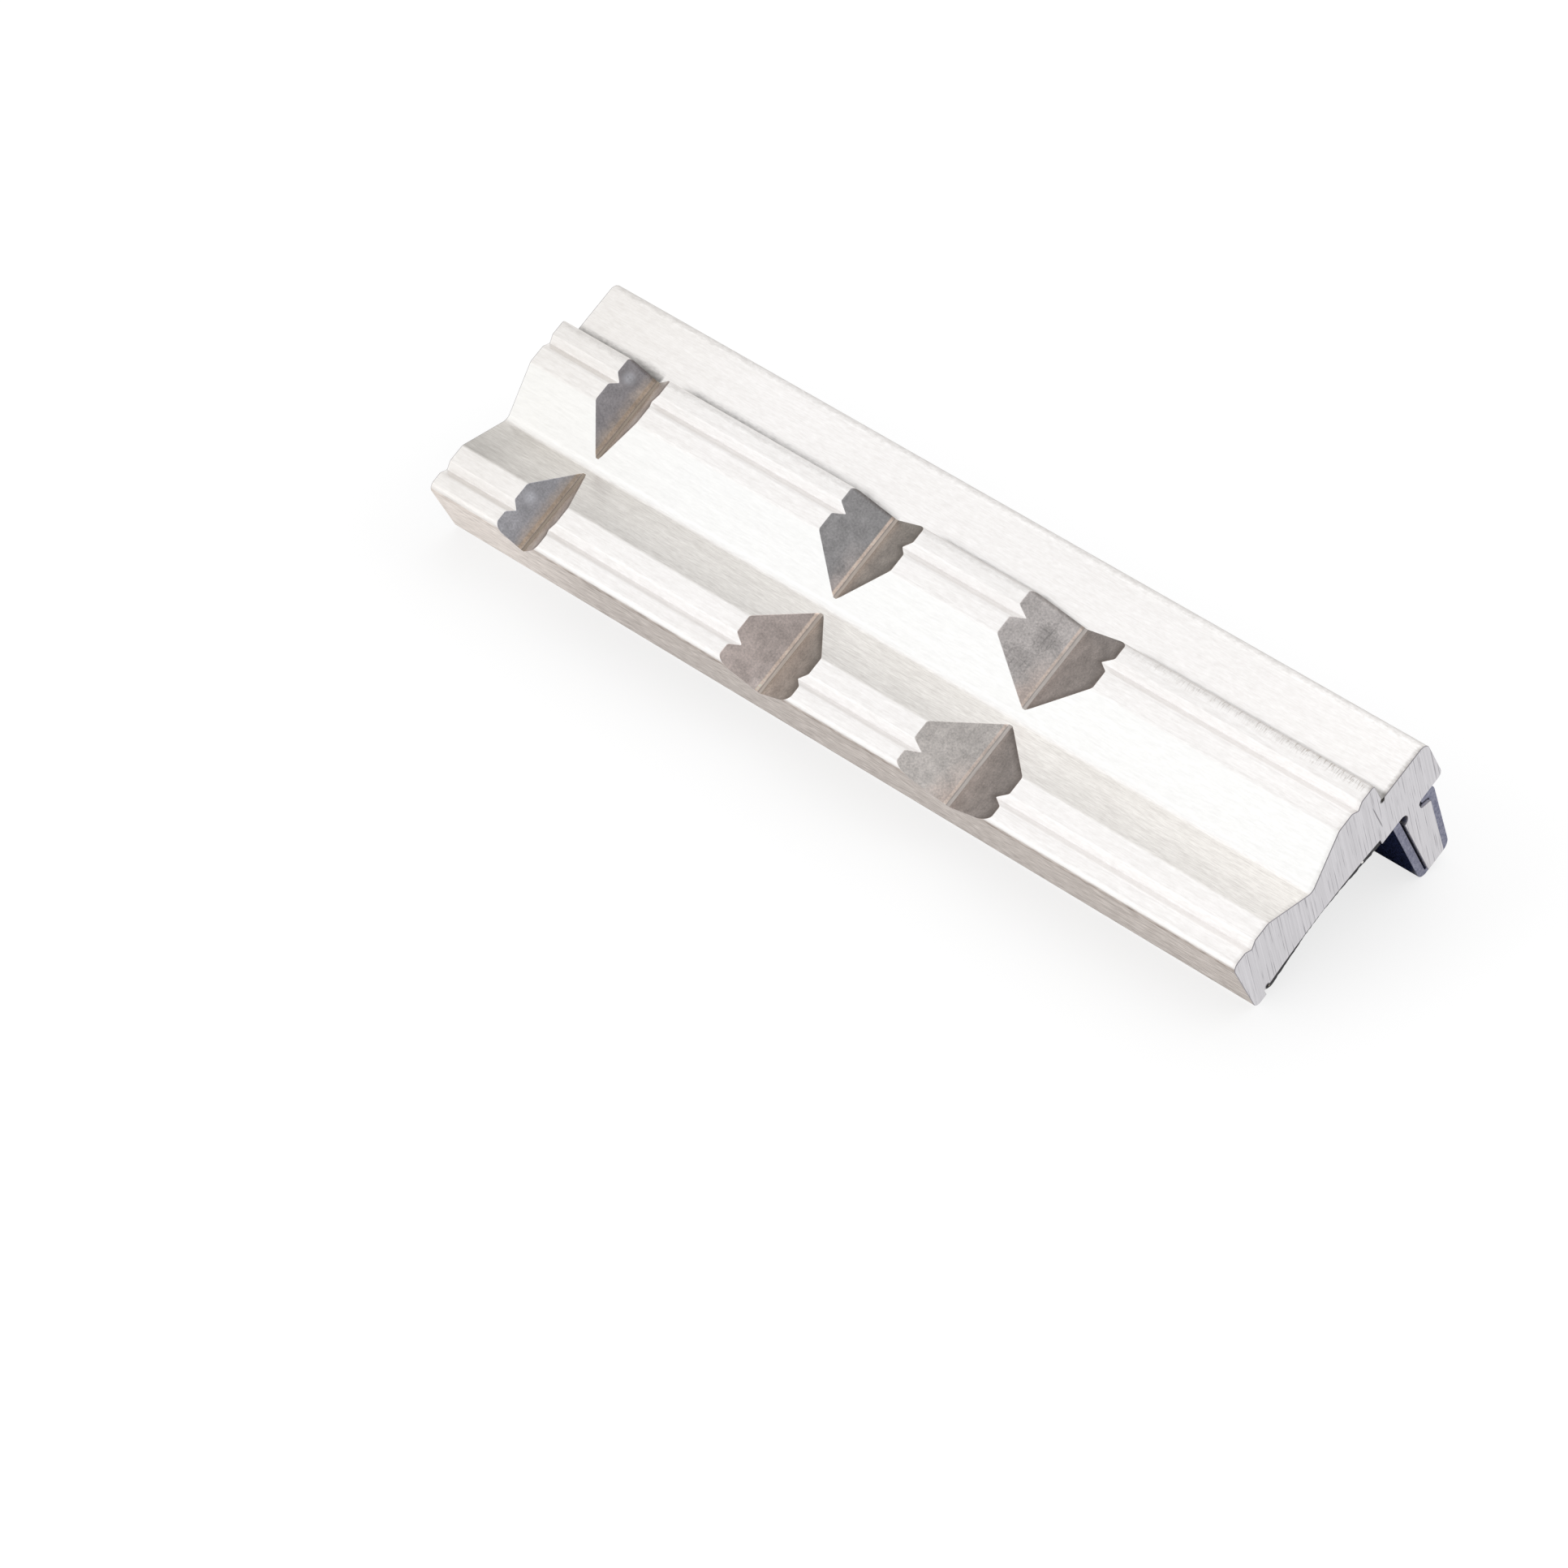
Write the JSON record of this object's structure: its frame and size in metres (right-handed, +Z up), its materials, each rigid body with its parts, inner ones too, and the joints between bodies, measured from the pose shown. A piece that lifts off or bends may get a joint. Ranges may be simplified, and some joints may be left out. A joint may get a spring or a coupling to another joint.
{
  "type": "prismatic soft jaw",
  "caption": "Aluminium soft jaw for a bench vice, with V grooves along and across its work face, a ledge, a magnet sheet in its back and a plastic cover on its rib.",
  "frame": {"origin": "middle of the footprint of the jaw as it lies at rest, on the ground", "axes": "+X along the jaw towards its end by the largest notch, +Z up, +Y from the plate's lower edge towards the ledge; the work face leans up at the rest tilt of 26.8 degrees about X"},
  "size_m": [0.125, 0.038, 0.0206],
  "materials": {
    "aluminium": "satin, drawn lengthwise, with sawn ends and milled notches",
    "magnet_sheet": "matte, with fine glitter at the cut ends",
    "navy_plastic": "glossy, with matte cut ends"
  },
  "bodies": {
    "root": {"jaw_body": "aluminium", "magnet_strip": "magnet_sheet", "clip_cover": "navy_plastic"}
  },
  "joints": []
}
